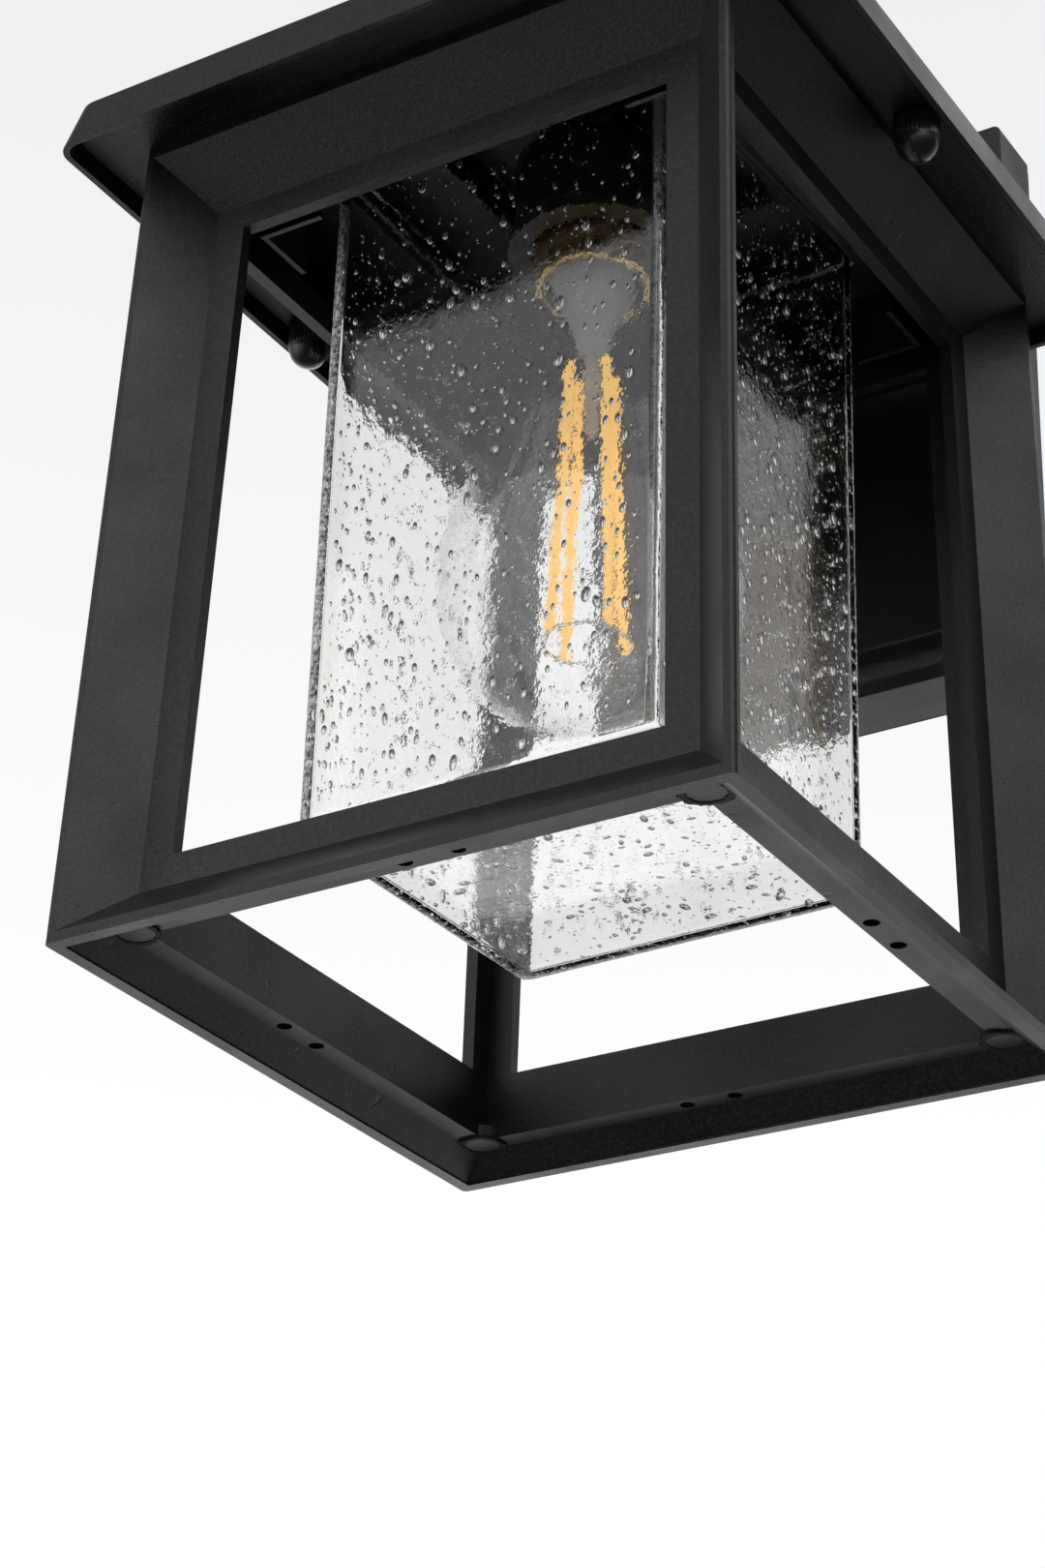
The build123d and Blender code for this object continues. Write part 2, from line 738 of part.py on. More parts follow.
def wall_plate():
    """Shallow pan with straight sides, a cove and a raised panel, open at the back."""
    panel_width = plate_width - 2 * panel_inset
    panel_height = plate_height - 2 * panel_inset
    outline = RectangleRounded(plate_width, plate_height, plate_corner)
    body = extrude(plate_plane(plate_back) * outline, plate_side)
    body += extrude(plate_plane(box_front) * Rectangle(panel_width, panel_height), panel_rise)
    foot = body.edges().filter_by_position(Axis.Y, -box_front - 0.01, -box_front + 0.01)
    inner = foot.filter_by(lambda edge: abs(edge.center().X) < plate_width / 2 - panel_inset / 2)
    inner = inner.filter_by(lambda edge: abs(edge.center().Z) < plate_height / 2 - panel_inset / 2)
    body = fillet(inner, cove_radius)
    body = fillet(body.edges().group_by(Axis.Y)[0], panel_edge_radius)
    hollow = Rectangle(plate_width - 2 * plate_wall, plate_height - 2 * plate_wall)
    body -= extrude(plate_plane(plate_back) * hollow, plate_side - plate_wall)
    deep = Rectangle(panel_width - 2 * plate_wall, panel_height - 2 * plate_wall)
    body -= extrude(plate_plane(plate_back) * deep, plate_side + panel_rise - plate_wall)
    through = plate_plane(panel_front) * Pos(0, wire_plate_level, 0)
    wire_hole = (wire_spacing + wire_diameter) / 2 + wire_hole_gap
    body -= extrude(through * Circle(wire_hole), -plate_wall)
    for side in (-1, 1):
        place = plate_plane(panel_front) * Pos(side * arm_screw_spacing / 2, arm_above_plate_centre)
        body -= extrude(place * Circle(arm_screw_diameter / 2 + screw_hole_gap), -plate_wall)
        wall_top = side * plate_height / 2
        low, high = sorted((wall_top, wall_top - side * plate_wall))
        hole = plate_screw_diameter / 2 + screw_hole_gap
        body -= round_bar(hole, low, high, 0, -plate_screw_depth)
    return body


def mounting_bracket():
    """Bent steel strip on the wall, slotted for the junction box, with a tab at each end."""
    half = plate_height / 2 - plate_wall - bracket_tab_gap
    side_view = Plane.YZ.offset(-bracket_width / 2)
    outline = Rectangle(bracket_tab, 2 * half)
    outline = fillet(outline.vertices().group_by(Axis.X)[-1], bracket_bend + bracket_thickness)
    inside = Rectangle(bracket_tab, 2 * (half - bracket_thickness))
    inside = fillet(inside.vertices().group_by(Axis.X)[-1], bracket_bend)
    strip = outline - Pos(-bracket_thickness, 0) * inside
    bracket = extrude(side_view * Pos(-bracket_tab / 2, 0) * strip, bracket_width)
    slot = SlotOverall(box_slot_length, box_slot_width, rotation=90)
    screw_hole = Circle(plate_screw_diameter / 2 + thread_gap)
    for side in (-1, 1):
        place = plate_plane(0) * Pos(0, side * box_screw_spacing / 2)
        bracket -= extrude(place * slot, bracket_thickness)
        low, high = sorted((side * half, side * (half - bracket_thickness)))
        bracket -= round_bar(plate_screw_diameter / 2 + thread_gap, low, high, 0, -plate_screw_depth)
    bracket -= extrude(plate_plane(0) * Pos(0, -ground_screw_drop) * screw_hole, bracket_thickness)
    return bracket


def plate_screws():
    """Two screws, above and below, that hold the plate to the bracket's tabs."""
    one = screw(plate_screw_diameter, plate_screw_length, screw_head_diameter, screw_head_height)
    return [
        Pos(0, -plate_screw_depth, plate_height / 2) * one,
        Pos(0, -plate_screw_depth, -plate_height / 2) * Rot(180, 0, 0) * one,
    ]


def ground_screw():
    """Grounding screw on the bracket, flush with its back."""
    one = screw(plate_screw_diameter, bracket_thickness, ground_head_diameter, screw_head_height)
    return plate_plane(bracket_thickness) * Pos(0, -ground_screw_drop) * one


def save(name, shape, place=Pos(0, 0, 0)):
    """Write one piece, or a group of like pieces, at its place on the wall."""
    solids = shape if isinstance(shape, list) else [shape]
    placed = [place * solid for solid in solids]
    if len(placed) == 1:
        export_step(placed[0], f"parts/{name}.step")
    else:
        export_step(Compound(placed), f"parts/{name}.step")


os.makedirs("parts", exist_ok=True)

for name, shape in {
    "wall_gasket": wall_gasket(),
    "wall_plate": wall_plate(),
    "mounting_bracket": mounting_bracket(),
    "plate_screws": plate_screws(),
    "ground_screw": ground_screw(),
}.items():
    save(name, shape)

for name, shape in {
    "arm": arm(),
    "arm_end_cap": arm_end_cap(),
    "arm_screws": arm_screws(),
    "roof": roof(),
    "threaded_nipple": threaded_nipple(),
    "nipple_washer": nipple_washer(),
    "lock_nut": lock_nut(),
    "lampholder_bushing": lampholder_bushing(),
    "lampholder_body": lampholder_body(),
    "screw_shell": screw_shell(),
    "lampholder_contact": lampholder_contact(),
    "live_wire": wire(-1),
    "neutral_wire": wire(1),
    "wire_connectors": wire_connectors(),
    "cage_studs": cage_studs(),
    "thumb_nut_left": thumb_nut(-1),
    "thumb_nut_right": thumb_nut(1),
    "cage": cage(),
    "glass_gasket": glass_gasket(),
    "glass_box": glass_box(),
    "bulb_tip": bulb_tip(),
    "bulb_insulator": bulb_insulator(),
    "bulb_cap": bulb_cap(),
    "bulb_envelope": bulb_envelope(),
    "bulb_stem": bulb_stem(),
    "bulb_leads": bulb_leads(),
    "bulb_filaments": bulb_filaments(),
}.items():
    save(name, shape, lantern)

print("reach", round(reach, 2), "cage lip", round(arm_above_plate_centre - arm_middle, 2))
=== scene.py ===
import bmesh
import bpy
import json
import math
import random
import numpy as np
from mathutils import Matrix, Vector


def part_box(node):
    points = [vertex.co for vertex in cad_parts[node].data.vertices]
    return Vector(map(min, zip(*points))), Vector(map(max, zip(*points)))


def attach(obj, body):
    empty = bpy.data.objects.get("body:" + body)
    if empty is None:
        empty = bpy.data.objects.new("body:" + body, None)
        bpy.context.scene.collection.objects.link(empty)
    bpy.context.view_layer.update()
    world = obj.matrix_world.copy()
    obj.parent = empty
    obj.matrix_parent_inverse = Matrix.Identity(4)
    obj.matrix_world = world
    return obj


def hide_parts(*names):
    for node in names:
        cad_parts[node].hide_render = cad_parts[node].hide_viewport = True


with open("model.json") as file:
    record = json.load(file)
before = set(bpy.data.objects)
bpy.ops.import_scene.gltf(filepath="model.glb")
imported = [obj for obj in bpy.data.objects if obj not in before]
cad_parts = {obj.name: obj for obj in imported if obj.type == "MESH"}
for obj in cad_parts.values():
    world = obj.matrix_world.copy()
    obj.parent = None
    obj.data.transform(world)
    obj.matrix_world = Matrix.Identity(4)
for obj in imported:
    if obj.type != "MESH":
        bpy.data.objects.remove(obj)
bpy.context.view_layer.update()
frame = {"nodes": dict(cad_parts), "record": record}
nodes = frame["nodes"]


# Materials
def new_material(name):
    """Empty node material and its node tree."""
    mat = bpy.data.materials.new(name)
    mat.use_nodes = True
    mat.node_tree.nodes.clear()
    return mat, mat.node_tree


def add(tree, kind, inputs=None, **fields):
    """One shader node with its fields and unlinked inputs set."""
    node = tree.nodes.new(kind)
    for key, value in fields.items():
        setattr(node, key, value)
    for key, value in (inputs or {}).items():
        node.inputs[key].default_value = value
    return node


def link(tree, source, target):
    tree.links.new(source, target)


def noise(tree, scale, detail=2.0, roughness=0.5, stretch=None):
    """Noise in object space; scale is in features per metre."""
    coord = add(tree, "ShaderNodeTexCoord")
    mapping = add(tree, "ShaderNodeMapping")
    mapping.inputs["Scale"].default_value = stretch or (1.0, 1.0, 1.0)
    settings = {"Scale": scale, "Detail": detail, "Roughness": roughness}
    tex = add(tree, "ShaderNodeTexNoise", settings)
    link(tree, coord.outputs["Object"], mapping.inputs["Vector"])
    link(tree, mapping.outputs["Vector"], tex.inputs["Vector"])
    return tex


def ramp(tree, source, stops):
    """Colour ramp; stops are (position, grey or colour)."""
    node = add(tree, "ShaderNodeValToRGB")
    elements = node.color_ramp.elements
    while len(elements) < len(stops):
        elements.new(0.5)
    for element, (place, value) in zip(elements, stops):
        element.position = place
        colour = value if isinstance(value, tuple) else (value, value, value)
        element.color = (*colour, 1.0)
    link(tree, source, node.inputs["Fac"])
    return node


def bump(tree, height, depth, strength=1.0, normal=None):
    """Bump of a given depth in metres."""
    node = add(tree, "ShaderNodeBump", {"Strength": strength, "Distance": depth})
    link(tree, height, node.inputs["Height"])
    if normal is not None:
        link(tree, normal, node.inputs["Normal"])
    return node


def finish_surface(mat, tree, shader):
    """Shader linked to the material's output."""
    out = add(tree, "ShaderNodeOutputMaterial")
    link(tree, shader, out.inputs["Surface"])
    return mat


def powder_coat(name, grain=1500.0, depth=0.00009, low=0.003, high=0.011, gloss=(0.36, 0.48)):
    """Black powder coat, faintly blue, with a sandy grain, pale specks and a few pits."""
    mat, tree = new_material(name)
    bsdf = add(tree, "ShaderNodeBsdfPrincipled", {"IOR": 1.47})
    bsdf.inputs["Specular Tint"].default_value = (0.93, 0.97, 1.0, 1.0)
    sand = noise(tree, grain, 3.0, 0.7)
    broad = noise(tree, 40.0, 3.0, 0.5)
    speck = noise(tree, grain * 0.8, 2.0, 0.7)
    blue = (0.92, 1.0, 1.08)
    colour = ramp(
        tree,
        speck.outputs["Fac"],
        [
            (0.38, tuple(low * c for c in blue)),
            (0.62, tuple(high * c for c in blue)),
            (0.80, tuple(2 * high * c for c in blue)),
        ],
    )
    link(tree, colour.outputs["Color"], bsdf.inputs["Base Color"])
    spread = add(tree, "ShaderNodeMath", operation="MULTIPLY_ADD")
    spread.inputs[1].default_value = 0.25
    link(tree, broad.outputs["Fac"], spread.inputs[2])
    link(tree, sand.outputs["Fac"], spread.inputs[0])
    rough = ramp(tree, spread.outputs["Value"], [(0.45, gloss[0]), (0.80, gloss[1])])
    link(tree, rough.outputs["Color"], bsdf.inputs["Roughness"])
    relief = bump(tree, sand.outputs["Fac"], depth, 1.0)
    pit = noise(tree, 260.0, 1.0, 0.5)
    pits = ramp(tree, pit.outputs["Fac"], [(0.20, 0.0), (0.27, 1.0)])
    dents = bump(tree, pits.outputs["Color"], 0.00006, 1.0, relief.outputs["Normal"])
    link(tree, dents.outputs["Normal"], bsdf.inputs["Normal"])
    return finish_surface(mat, tree, bsdf.outputs["BSDF"])


def metal(name, colour, roughness=0.3, scratch=400.0, stretch=(1.0, 1.0, 0.08), depth=0.00001):
    """Metal with fine drawn scratches."""
    mat, tree = new_material(name)
    bsdf = add(tree, "ShaderNodeBsdfPrincipled", {"Metallic": 1.0})
    streak = noise(tree, scratch, 4.0, 0.6, stretch)
    stain = noise(tree, 120.0, 3.0, 0.5)
    tint = ramp(
        tree,
        stain.outputs["Fac"],
        [(0.3, tuple(0.82 * c for c in colour)), (0.7, tuple(min(1.0, 1.08 * c) for c in colour))],
    )
    link(tree, tint.outputs["Color"], bsdf.inputs["Base Color"])
    rough = ramp(tree, streak.outputs["Fac"], [(0.3, roughness * 0.75), (0.7, roughness * 1.3)])
    link(tree, rough.outputs["Color"], bsdf.inputs["Roughness"])
    relief = bump(tree, streak.outputs["Fac"], depth, 0.5)
    link(tree, relief.outputs["Normal"], bsdf.inputs["Normal"])
    return finish_surface(mat, tree, bsdf.outputs["BSDF"])


def plastic(name, colour, roughness=0.45, grain=1500.0, depth=0.00002, glow=0.0):
    """Moulded plastic, rubber, foam or phosphor."""
    mat, tree = new_material(name)
    bsdf = add(tree, "ShaderNodeBsdfPrincipled", {"Emission Strength": glow})
    tex = noise(tree, grain, 3.0, 0.55)
    tint = ramp(
        tree,
        tex.outputs["Fac"],
        [(0.3, tuple(0.85 * c for c in colour)), (0.7, tuple(min(1.0, 1.12 * c) for c in colour))],
    )
    link(tree, tint.outputs["Color"], bsdf.inputs["Base Color"])
    link(tree, tint.outputs["Color"], bsdf.inputs["Emission Color"])
    rough_stops = [(0.3, roughness * 0.85), (0.7, min(1.0, roughness * 1.15))]
    rough = ramp(tree, tex.outputs["Fac"], rough_stops)
    link(tree, rough.outputs["Color"], bsdf.inputs["Roughness"])
    relief = bump(tree, tex.outputs["Fac"], depth, 0.5)
    link(tree, relief.outputs["Normal"], bsdf.inputs["Normal"])
    return finish_surface(mat, tree, bsdf.outputs["BSDF"])


def clear_glass(name, colour, ior, grain, depth, rough=0.0, painted_highlight=0.0):
    """Clear glass with fine ripples; the last argument is the share of white diffuse, a painted
    highlight.
    """
    mat, tree = new_material(name)
    bsdf = add(tree, "ShaderNodeBsdfGlass", {"IOR": ior, "Roughness": rough})
    bsdf.inputs["Color"].default_value = (*colour, 1.0)
    tex = noise(tree, grain, 2.0, 0.5)
    relief = bump(tree, tex.outputs["Fac"], depth, 1.0)
    link(tree, relief.outputs["Normal"], bsdf.inputs["Normal"])
    if not painted_highlight:
        return finish_surface(mat, tree, bsdf.outputs["BSDF"])
    white = add(tree, "ShaderNodeBsdfDiffuse")
    white.inputs["Color"].default_value = (0.95, 0.96, 0.97, 1.0)
    mix = add(tree, "ShaderNodeMixShader", {"Fac": painted_highlight})
    link(tree, bsdf.outputs["BSDF"], mix.inputs[1])
    link(tree, white.outputs["BSDF"], mix.inputs[2])
    return finish_surface(mat, tree, mix.outputs["Shader"])


def seeded_glass(name):
    """Clear blown glass with an uneven skin, and white diffuse where the vertex mark says so: painted
    reflection standing in for the bright edges the glass shows by refraction.
    """
    mat, tree = new_material(name)
    bsdf = add(tree, "ShaderNodeBsdfGlass", {"IOR": 1.5, "Roughness": 0.0})
    bsdf.inputs["Color"].default_value = (0.997, 0.999, 0.998, 1.0)
    skin_tex = noise(tree, 250.0, 3.0, 0.6)
    relief = bump(tree, skin_tex.outputs["Fac"], 0.00007, 1.0)
    link(tree, relief.outputs["Normal"], bsdf.inputs["Normal"])
    painted_sheen = add(tree, "ShaderNodeBsdfDiffuse")
    painted_sheen.inputs["Color"].default_value = (0.9, 0.91, 0.91, 1.0)
    mark = add(tree, "ShaderNodeAttribute", attribute_name="painted_sheen")
    grain = noise(tree, 900.0, 3.0, 0.6)
    patchy = ramp(tree, grain.outputs["Fac"], [(0.38, 0.1), (0.62, 1.0)])
    share = add(tree, "ShaderNodeMath", operation="MULTIPLY")
    link(tree, mark.outputs["Fac"], share.inputs[0])
    link(tree, patchy.outputs["Color"], share.inputs[1])
    mix = add(tree, "ShaderNodeMixShader")
    link(tree, share.outputs["Value"], mix.inputs["Fac"])
    link(tree, bsdf.outputs["BSDF"], mix.inputs[1])
    link(tree, painted_sheen.outputs["BSDF"], mix.inputs[2])
    return finish_surface(mat, tree, mix.outputs["Shader"])


COAT = powder_coat("black_coat_sandy")
SLOTS = {
    "black_coat": COAT,
    "black_steel": powder_coat("black_satin_steel", 3200.0, 0.00001, 0.010, 0.018, (0.22, 0.32)),
    "zinc_steel": metal("zinc_plate", (0.62, 0.63, 0.64), 0.32),
    "green_steel": metal("green_screw", (0.10, 0.34, 0.16), 0.35),
    "gasket_foam": plastic("gasket_foam_black", (0.03, 0.03, 0.032), 0.8, 1800.0, 0.00015),
    "clear_silicone": plastic("silicone_pale", (0.55, 0.56, 0.56), 0.4),
    "seeded_glass": seeded_glass("seeded_glass_clear"),
    "lamp_glass": clear_glass("lamp_glass_clear", (0.997, 0.998, 0.998), 1.38, 60.0, 0.00001),
    # clear stem glass; its white diffuse share of 0.5 is a painted highlight
    "lamp_glass_foot": clear_glass("lamp_foot_glass", (0.98, 0.99, 0.99), 1.5, 300.0, 0.0001, 0.05, 0.5),
    "lamp_brass": metal("lamp_cap_brass", (0.72, 0.50, 0.22), 0.3),
    "brass_plain": metal("nipple_brass", (0.68, 0.50, 0.25), 0.35),
    "holder_black": plastic("holder_black_resin", (0.014, 0.014, 0.015), 0.42),
    "black_glass": plastic("cap_insulator_glass", (0.02, 0.02, 0.025), 0.12),
    "solder": metal("solder_grey", (0.55, 0.56, 0.57), 0.4),
    "lead_wire": metal("lead_nickel", (0.66, 0.62, 0.56), 0.28),
    "filament_amber": plastic("filament_phosphor", (1.0, 0.55, 0.14), 0.55, 2500.0, 0.00003, 0.75),
    "wire_black": plastic("wire_black_pvc", (0.015, 0.015, 0.015), 0.4),
    "wire_white": plastic("wire_white_pvc", (0.72, 0.72, 0.70), 0.4),
    "connector_orange": plastic("connector_orange_shell", (0.75, 0.22, 0.03), 0.4),
}


def dress_nodes():
    """Every CAD node gets the material of its slot."""
    for part in frame["record"]["subparts"]:
        node = nodes[part["node"]]
        node.data.materials.clear()
        node.data.materials.append(SLOTS[part["material_slot"]])


dress_nodes()


# Edges
def soften(node, width, angle=25.0, segments=2):
    """Small rounded edges on a CAD node, as modifiers only."""
    weld = node.modifiers.new("weld", "WELD")
    weld.merge_threshold = 0.00002
    flat = node.modifiers.new("flat", "DECIMATE")
    flat.decimate_type = "DISSOLVE"
    flat.angle_limit = math.radians(1.0)
    edge = node.modifiers.new("edge", "BEVEL")
    edge.width = width
    edge.segments = segments
    edge.limit_method = "ANGLE"
    edge.angle_limit = math.radians(angle)
    edge.use_clamp_overlap = True
    even = node.modifiers.new("even", "WEIGHTED_NORMAL")
    even.mode = "FACE_AREA"
    even.keep_sharp = False


# Camera
AZIMUTH = math.radians(32.446)
ELEVATION = math.radians(-27.344)
ROLL = math.radians(1.855)
CAMERA_PLACE = (0.3202, -0.6428, -0.4574)
LENS = 78.342
SENSOR_HEIGHT = 36.0


def make_camera():
    """Camera at the place and angle of the photograph, looking up at the lantern."""
    cos_a, sin_a = math.cos(AZIMUTH), math.sin(AZIMUTH)
    cos_e, sin_e = math.cos(ELEVATION), math.sin(ELEVATION)
    forward = Vector((-sin_a * cos_e, cos_a * cos_e, -sin_e))
    level = Vector((cos_a, sin_a, 0.0))
    upright = level.cross(forward)
    right = math.cos(ROLL) * level + math.sin(ROLL) * upright
    up = -math.sin(ROLL) * level + math.cos(ROLL) * upright
    data = bpy.data.cameras.new("view")
    data.sensor_fit = "VERTICAL"
    data.sensor_height = SENSOR_HEIGHT
    data.lens = LENS
    data.clip_start = 0.01
    data.clip_end = 50.0
    camera = bpy.data.objects.new("view", data)
    matrix = Matrix((right, up, -forward)).transposed().to_4x4()
    matrix.translation = Vector(CAMERA_PLACE)
    camera.matrix_world = matrix
    bpy.context.collection.objects.link(camera)
    bpy.context.scene.camera = camera


make_camera()


# Light
SKY_LOW = 0.36
SKY_HIGH = 0.65
SKY_WHITE = (1.0, 1.0, 1.0)
SKY_GREY = (0.863, 0.863, 0.875)


def make_world():
    """White backdrop for camera and glass; a soft tent of light for gloss and the rest."""
    world = bpy.data.worlds.new("studio")
    bpy.context.scene.world = world
    world.use_nodes = True
    tree = world.node_tree
    tree.nodes.clear()
    coord = add(tree, "ShaderNodeTexCoord")
    split = add(tree, "ShaderNodeSeparateXYZ")
    link(tree, coord.outputs["Generated"], split.inputs["Vector"])
    shades = [(SKY_LOW, SKY_WHITE), (SKY_HIGH, SKY_GREY)]
    seen = ramp_world(tree, split.outputs["Z"], shades)
    tent = tent_level(tree, coord)
    path = add(tree, "ShaderNodeLightPath")
    either = add(tree, "ShaderNodeMath", operation="MAXIMUM")
    link(tree, path.outputs["Is Camera Ray"], either.inputs[0])
    link(tree, path.outputs["Is Transmission Ray"], either.inputs[1])
    show = add(tree, "ShaderNodeBackground", {"Strength": 1.0})
    link(tree, seen.outputs["Color"], show.inputs["Color"])
    fill = add(tree, "ShaderNodeBackground", {"Strength": 1.0})
    link(tree, tent, fill.inputs["Color"])
    mix = add(tree, "ShaderNodeMixShader")
    link(tree, either.outputs["Value"], mix.inputs["Fac"])
    link(tree, fill.outputs["Background"], mix.inputs[1])
    link(tree, show.outputs["Background"], mix.inputs[2])
    out = add(tree, "ShaderNodeOutputWorld")
    link(tree, mix.outputs["Shader"], out.inputs["Surface"])


def ramp_world(tree, source, stops):
    """Backdrop shade by height in the surroundings; stops are (upward part of direction, colour)."""
    scale = add(tree, "ShaderNodeMapRange")
    scale.inputs["From Min"].default_value = -1.0
    scale.inputs["From Max"].default_value = 1.0
    link(tree, source, scale.inputs["Value"])
    return ramp(tree, scale.outputs["Result"], [((p + 1.0) / 2.0, c) for p, c in stops])


# The ten levels are not chosen by hand: a separate script solved them by least squares,
# so that the coat's dark surfaces come out as in the photograph.
SOFT_LIGHTS = [
    # direction that the light comes from, level
    ((1, -1, 1), 2.5),
    ((-1, 1, 0), 1.8),
    ((-1, -1, 0), 1.7),
    ((0, 1, 0), 1.4),
    ((0, 1, 1), 0.93),
    ((0, -1, 0), 0.46),
    ((-1, 1, 1), 0.38),
    ((-1, -1, 1), 0.34),
    ((0, 1, -1), 0.15),
    ((-1, 1, -1), 0.09),
]
SOFT_FOCUS = 8.0


def tent_level(tree, coord):
    """Sum of wide soft lights in the surroundings, each brightest in its own direction."""
    total = None
    for direction, level in SOFT_LIGHTS:
        unit = Vector(direction).normalized()
        dot = add(tree, "ShaderNodeVectorMath", operation="DOT_PRODUCT")
        dot.inputs[1].default_value = SOFT_FOCUS * unit
        link(tree, coord.outputs["Generated"], dot.inputs[0])
        less = add(tree, "ShaderNodeMath", operation="SUBTRACT")
        less.inputs[1].default_value = SOFT_FOCUS
        link(tree, dot.outputs["Value"], less.inputs[0])
        fall = add(tree, "ShaderNodeMath", operation="EXPONENT")
        link(tree, less.outputs["Value"], fall.inputs[0])
        part = add(tree, "ShaderNodeMath", operation="MULTIPLY_ADD")
        part.inputs[1].default_value = level
        part.inputs[2].default_value = 0.0
        link(tree, fall.outputs["Value"], part.inputs[0])
        if total is not None:
            link(tree, total, part.inputs[2])
        total = part.outputs["Value"]
    return total


def soft_lamp(name, place, aim, size, power):
    """Large area lamp facing a point."""
    data = bpy.data.lights.new(name, "AREA")
    data.shape = "SQUARE"
    data.size = size
    data.energy = power
    lamp = bpy.data.objects.new(name, data)
    lamp.location = place
    lamp.rotation_euler = (Vector(aim) - Vector(place)).to_track_quat("-Z", "Y").to_euler()
    bpy.context.collection.objects.link(lamp)
    lamp.visible_camera = False
    lamp.visible_transmission = False
    lamp.visible_glossy = False
    return lamp


LAMP_AIM = (0.0, -0.1, -0.05)

make_world()
soft_lamp("lamp_front_left", (-1.2, -1.6, 0.3), LAMP_AIM, 1.4, 8.0)
soft_lamp("lamp_above", (0.3, -0.7, 1.7), LAMP_AIM, 1.8, 14.0)
soft_lamp("lamp_below", (0.2, -0.4, -1.3), LAMP_AIM, 1.2, 6.0)


FLOOR_HALF = 6.0
FLOOR_LEVEL = -1.55


def make_floor():
    """Plain pale floor far below the light."""
    size, level = FLOOR_HALF, FLOOR_LEVEL
    mesh = bpy.data.meshes.new("floor")
    signs = [(-1, -1), (1, -1), (1, 1), (-1, 1)]
    corners = [(size * x, size * y, level) for x, y in signs]
    mesh.from_pydata(corners, [], [(0, 1, 2, 3)])
    floor = bpy.data.objects.new("floor", mesh)
    bpy.context.collection.objects.link(floor)
    mat, tree = new_material("floor_pale")
    bsdf = add(tree, "ShaderNodeBsdfPrincipled", {"Roughness": 0.8})
    tex = noise(tree, 3.0, 2.0, 0.5)
    shade = ramp(tree, tex.outputs["Fac"], [(0.3, 0.92), (0.7, 0.94)])
    link(tree, shade.outputs["Color"], bsdf.inputs["Base Color"])
    finish_surface(mat, tree, bsdf.outputs["BSDF"])
    mesh.materials.append(mat)
    floor.visible_glossy = False
    floor.visible_diffuse = False


make_floor()


# Seeded glass
AXIS_Y = -0.115
GLASS_TURN = math.radians(-1.5)
GLASS_HALF = 0.0416
GLASS_INSIDE = 0.0394
GLASS_BOTTOM = -0.157
GLASS_FLOOR = 0.0026
GLASS_TOP = 0.008
FLANGE_LOW = 0.005
FLANGE_HALF = 0.04847
GLASS_CORNER = 0.0020
GLASS_CORNER_INSIDE = 0.0010
EDGE_OUTSIDE = 0.0014
EDGE_INSIDE = 0.0012
WALL_LEVELS = 120
FLOOR_RINGS = 26
WAVE_COUNT = 60
WAVE_SHORTEST = 0.008
WAVE_LONGEST = 0.030
WAVE_OUTSIDE = 0.000014
WAVE_INSIDE = 0.000018
WAVE_TOP = -0.002
# painted reflection on the glass corners and low edge: its white share, the height it stops below, and
# the part the front right corner keeps
CORNER_SHEEN = 0.75
SHEEN_TOP = -0.004
SHEEN_FRONT_RIGHT = 0.2
FLOOR_SHARE = 0.10
BUBBLE_REACH = 0.037
BUBBLES = 5000
WALL_SHARES = (0.34, 0.24, 0.21, 0.21)


def turned(x, y, angle):
    """Plan position turned about the lantern's axis."""
    c, s = math.cos(angle), math.sin(angle)
    return c * x - s * y, s * x + c * y


def outline(half, corner, steps=46, arc_steps=8):
    """Rounded square, counter-clockwise, with its outward normals."""
    points = []
    flat = half - corner
    for side in range(4):
        turn = side * math.pi / 2
        local = []
        for i in range(steps):
            local.append((half, -flat + 2 * flat * i / steps, 0.0))
        for i in range(arc_steps):
            a = math.pi / 2 * i / arc_steps
            local.append((flat + corner * math.cos(a), flat + corner * math.sin(a), a))
        for x, y, a in local:
            points.append((*turned(x, y, turn), math.cos(turn + a), math.sin(turn + a)))
    return np.array(points)


def waves(seed, count, shortest, longest):
    """Random plane waves for the uneven walls of blown glass."""
    rng = np.random.default_rng(seed)
    direction = rng.normal(size=(count, 3))
    direction /= np.linalg.norm(direction, axis=1)[:, None]
    length = np.exp(rng.uniform(math.log(shortest), math.log(longest), count))
    phase = rng.uniform(0, 2 * math.pi, count)
    weight = (length / longest) ** 1.1
    return direction * (2 * math.pi / length)[:, None], phase, weight


def wavy(points, field, amplitude):
    """Height of the wave field at each point."""
    wave, phase, weight = field
    value = np.sin(points @ wave.T + phase) @ weight
    return amplitude * value / math.sqrt((weight ** 2).sum() / 2)


def skin_ring(base, scale, z, side, upward):
    """One ring of a skin: places, then normals; side and upward weigh the normal's parts."""
    n = len(base)
    places = (base[:, 0] * scale, base[:, 1] * scale, np.full(n, z))
    normals = (side * base[:, 2], side * base[:, 3], np.full(n, upward))
    return np.c_[(*places, *normals)]


def shell_rings(half, corner, low, top, edge, inward):
    """Rings of one skin of the box, down its wall and in to the middle of its floor."""
    base = outline(half, corner)
    rings = []
    sign = -1.0 if inward else 1.0
    for i in range(WALL_LEVELS + 1):
        z = top + (low + edge - top) * i / WALL_LEVELS
        rings.append(skin_ring(base, 1.0, z, sign, 0.0))
    for i in range(1, 7):
        a = math.pi / 2 * i / 6
        inset = edge * (1 - math.cos(a))
        z = low + edge * (1 - math.sin(a))
        scale = (half - inset) / half
        rings.append(skin_ring(base, scale, z, sign * math.cos(a), -sign * math.sin(a)))
    start = (half - edge) / half
    for i in range(1, FLOOR_RINGS + 1):
        scale = start * (1 - i / (FLOOR_RINGS + 1))
        rings.append(skin_ring(base, scale, low, 0.0, -sign))
    return rings


